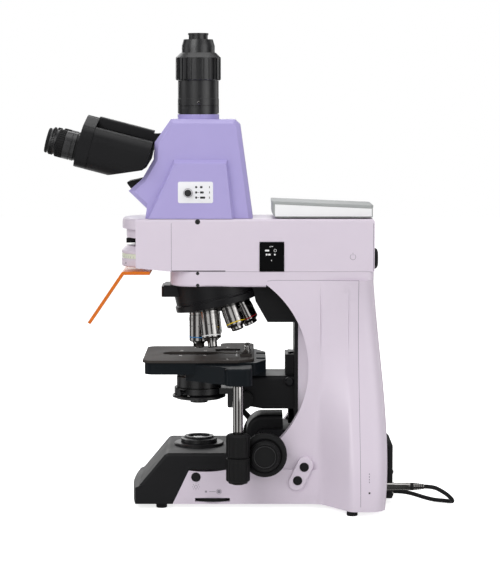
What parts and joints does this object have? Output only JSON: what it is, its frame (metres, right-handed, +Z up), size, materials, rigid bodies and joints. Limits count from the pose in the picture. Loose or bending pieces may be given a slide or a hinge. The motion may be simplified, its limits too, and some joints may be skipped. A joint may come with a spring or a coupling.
{
  "type": "fluorescence microscope",
  "caption": "Upright fluorescence microscope with tilting binocular head, camera port, turning nosepiece, geared stage, condenser and reflected-light arm.",
  "frame": {"origin": "on the table, below the middle of the instrument", "axes": "+X to the user's right, +Y to the back, +Z up"},
  "size_m": [0.2375, 0.5071, 0.5837],
  "materials": {
    "black_moulding": "satin",
    "black_paint": "satin paint",
    "box_enamel": "white paint",
    "cable_jacket": "matt",
    "chrome": "polished",
    "foot_rubber": "matt",
    "head_paint": "satin paint",
    "knob_rubber": "ribbed",
    "lid_grey": "grey",
    "shield_acrylic": "clear orange",
    "stage_paint": "satin paint",
    "stage_surface": "anodised",
    "stand_paint": "satin paint"
  },
  "bodies": {
    "stand": {"stand_body": "stand_paint", "rear_cover": "stand_paint", "base_cover": "black_moulding", "feet": "foot_rubber", "inner_column": "black_paint", "focus_housing": "black_moulding", "field_lens_mount": "black_paint", "lamp_train": "black_paint", "power_module": "black_moulding", "epi_connector": "chrome", "epi_cable": "cable_jacket", "nosepiece_mount": "black_paint", "arm_beam": "stand_paint", "epi_housing": "stand_paint", "rear_cap": "black_moulding", "uv_shield": "shield_acrylic", "control_box": "box_enamel", "control_box_lid": "lid_grey", "head_housing": "head_paint", "head_lip": "black_moulding", "camera_adapter": "black_paint"},
    "field_iris": {"field_iris_ring": "black_paint"},
    "lamp_wheel": {"intensity_wheel": "knob_rubber"},
    "side_key": {"side_button": "black_moulding"},
    "upper_key": {"pad_button_upper": "black_moulding"},
    "lower_key": {"pad_button_lower": "black_moulding"},
    "coarse": {"coarse_knobs": "knob_rubber"},
    "fine": {"fine_knobs": "knob_rubber"},
    "tension": {"tension_ring": "knob_rubber"},
    "lock": {"lock_lever": "black_moulding"},
    "mains_rocker": {"power_switch": "black_moulding"},
    "stage": {"stage_bracket": "black_paint", "stage_frame": "stage_paint"},
    "plate": {"stage_plate": "stage_surface"},
    "holder": {"specimen_holder": "stage_surface"},
    "finger": {"holder_finger": "stage_surface"},
    "y_drive": {"y_drive_knob": "knob_rubber"},
    "x_drive": {"x_drive_knob": "knob_rubber"},
    "condenser": {"condenser_carrier": "black_paint", "condenser_body": "black_paint"},
    "aperture": {"aperture_dial": "black_paint"},
    "condenser_drive": {"condenser_knob": "knob_rubber"},
    "nosepiece": {"nosepiece_turret": "black_paint", "objective_4x": "chrome", "objective_10x": "chrome", "objective_20x": "chrome", "objective_40x": "chrome", "objective_100x": "chrome"},
    "filters": {"filter_turret": "stand_paint"},
    "shutter": {"shutter_slider": "black_moulding"},
    "side_slider": {"arm_slider": "black_moulding"},
    "splitter": {"splitter_rod": "black_paint"},
    "camera_focus": {"adapter_ring": "knob_rubber"},
    "binocular": {"binocular_body": "black_paint"},
    "right_tube": {"prism_housing_right": "black_paint", "eyepiece_right": "black_paint"},
    "left_tube": {"prism_housing_left": "black_paint", "eyepiece_left": "black_paint"},
    "right_diopter": {"diopter_ring_right": "knob_rubber"},
    "left_diopter": {"diopter_ring_left": "knob_rubber"}
  },
  "joints": [
    {"name": "field_iris_turn", "type": "hinge", "parent": "stand", "child": "field_iris", "pos_m": [0, -0.04523, 0.0804], "axis": [0, 0, 1], "range_deg": [-60, 60]},
    {"name": "lamp_wheel_turn", "type": "hinge", "parent": "stand", "child": "lamp_wheel", "pos_m": [0.044, -0.02723, 0.0092], "axis": [0, 0, 1], "range_deg": [-140, 140]},
    {"name": "side_key_press", "type": "slide", "parent": "stand", "child": "side_key", "axis": [-1, 0, 0], "range_m": [0, 0.0012], "stiffness_N_per_m": 400},
    {"name": "upper_key_press", "type": "slide", "parent": "stand", "child": "upper_key", "axis": [-1, 0, 0], "range_m": [0, 0.0012], "stiffness_N_per_m": 400},
    {"name": "lower_key_press", "type": "slide", "parent": "stand", "child": "lower_key", "axis": [-1, 0, 0], "range_m": [0, 0.0012], "stiffness_N_per_m": 400},
    {"name": "coarse_turn", "type": "hinge", "parent": "stand", "child": "coarse", "pos_m": [0, 0.03707, 0.0701], "axis": [1, 0, 0], "range_deg": [-180.18, 15.9]},
    {"name": "fine_turn", "type": "hinge", "parent": "coarse", "child": "fine", "pos_m": [0, 0.03707, 0.0701], "axis": [1, 0, 0], "continuous": true},
    {"name": "tension_turn", "type": "hinge", "parent": "stand", "child": "tension", "pos_m": [0.0683, 0.03707, 0.0701], "axis": [1, 0, 0], "range_deg": [-90, 90]},
    {"name": "lock_swing", "type": "hinge", "parent": "stand", "child": "lock", "pos_m": [-0.0683, 0.03707, 0.0701], "axis": [1, 0, 0], "range_deg": [-8, 25]},
    {"name": "mains_rock", "type": "hinge", "parent": "stand", "child": "mains_rocker", "pos_m": [-0.022, 0.19357, 0.058], "axis": [1, 0, 0], "range_deg": [0, 7]},
    {"name": "stage_focus", "type": "slide", "parent": "stand", "child": "stage", "axis": [0, 0, 1], "range_m": [-0.017, 0.0015]},
    {"name": "plate_y", "type": "slide", "parent": "stage", "child": "plate", "axis": [0, 1, 0], "range_m": [-0.025, 0.025]},
    {"name": "holder_x", "type": "slide", "parent": "plate", "child": "holder", "axis": [1, 0, 0], "range_m": [-0.036, 0.036]},
    {"name": "finger_swing", "type": "hinge", "parent": "holder", "child": "finger", "pos_m": [0.027, 0.01177, 0.1845], "axis": [0, 0, 1], "range_deg": [-28, 6]},
    {"name": "y_drive_turn", "type": "hinge", "parent": "stage", "child": "y_drive", "pos_m": [0.105, 0.00447, 0.099], "axis": [0, 0, 1], "range_deg": [-360.36, 360.36]},
    {"name": "x_drive_turn", "type": "hinge", "parent": "stage", "child": "x_drive", "pos_m": [0.105, 0.00447, 0.0704], "axis": [0, 0, 1], "range_deg": [-360.36, 360.36]},
    {"name": "condenser_height", "type": "slide", "parent": "stage", "child": "condenser", "axis": [0, 0, 1], "range_m": [-0.016, 0.0015]},
    {"name": "aperture_turn", "type": "hinge", "parent": "condenser", "child": "aperture", "pos_m": [0, -0.04523, 0.1346], "axis": [0, 0, 1], "range_deg": [-40, 40]},
    {"name": "condenser_drive_turn", "type": "hinge", "parent": "stage", "child": "condenser_drive", "pos_m": [0.035, 0.01117, 0.1315], "axis": [1, 0, 0], "range_deg": [-180.18, 16.89]},
    {"name": "nosepiece_turn", "type": "hinge", "parent": "stand", "child": "nosepiece", "pos_m": [0, -0.01893, 0.24257], "axis": [0, -0.225, 0.9744], "continuous": true},
    {"name": "filter_turn", "type": "hinge", "parent": "stand", "child": "filters", "pos_m": [0, -0.09323, 0.2956], "axis": [0, 0, 1], "continuous": true},
    {"name": "shutter_slide", "type": "slide", "parent": "stand", "child": "shutter", "axis": [1, 0, 0], "range_m": [-0.006, 0.006]},
    {"name": "side_slider_pull", "type": "slide", "parent": "stand", "child": "side_slider", "axis": [1, 0, 0], "range_m": [0, 0.015]},
    {"name": "splitter_pull", "type": "slide", "parent": "stand", "child": "splitter", "axis": [1, 0, 0], "range_m": [0, 0.014]},
    {"name": "camera_focus_turn", "type": "hinge", "parent": "stand", "child": "camera_focus", "pos_m": [0, -0.04523, 0.5253], "axis": [0, 0, 1], "range_deg": [-90, 90]},
    {"name": "head_tilt", "type": "hinge", "parent": "stand", "child": "binocular", "pos_m": [0, -0.07023, 0.432], "axis": [1, 0, 0], "range_deg": [-16, 2]},
    {"name": "right_tube_swing", "type": "hinge", "parent": "binocular", "child": "right_tube", "pos_m": [0, -0.18443, 0.4716], "axis": [0, -0.9681, 0.2504], "range_deg": [-6, 13]},
    {"name": "left_tube_swing", "type": "hinge", "parent": "binocular", "child": "left_tube", "pos_m": [0, -0.18443, 0.4716], "axis": [0, -0.9681, 0.2504], "range_deg": [-13, 6]},
    {"name": "right_diopter_turn", "type": "hinge", "parent": "right_tube", "child": "right_diopter", "pos_m": [0.031, -0.20889, 0.44694], "axis": [0, -0.9681, 0.2504], "range_deg": [-150, 150]},
    {"name": "left_diopter_turn", "type": "hinge", "parent": "left_tube", "child": "left_diopter", "pos_m": [-0.031, -0.20889, 0.44694], "axis": [0, -0.9681, 0.2504], "range_deg": [-150, 150]}
  ],
  "couplings": [
    {"joint": "coarse_turn", "follows": "stage_focus", "rad_per_m": 184.8},
    {"joint": "y_drive_turn", "follows": "plate_y", "rad_per_m": 251.33},
    {"joint": "x_drive_turn", "follows": "holder_x", "rad_per_m": 174.53},
    {"joint": "condenser_drive_turn", "follows": "condenser_height", "rad_per_m": 196.35},
    {"joint": "left_tube_swing", "follows": "right_tube_swing", "ratio": -1}
  ]
}
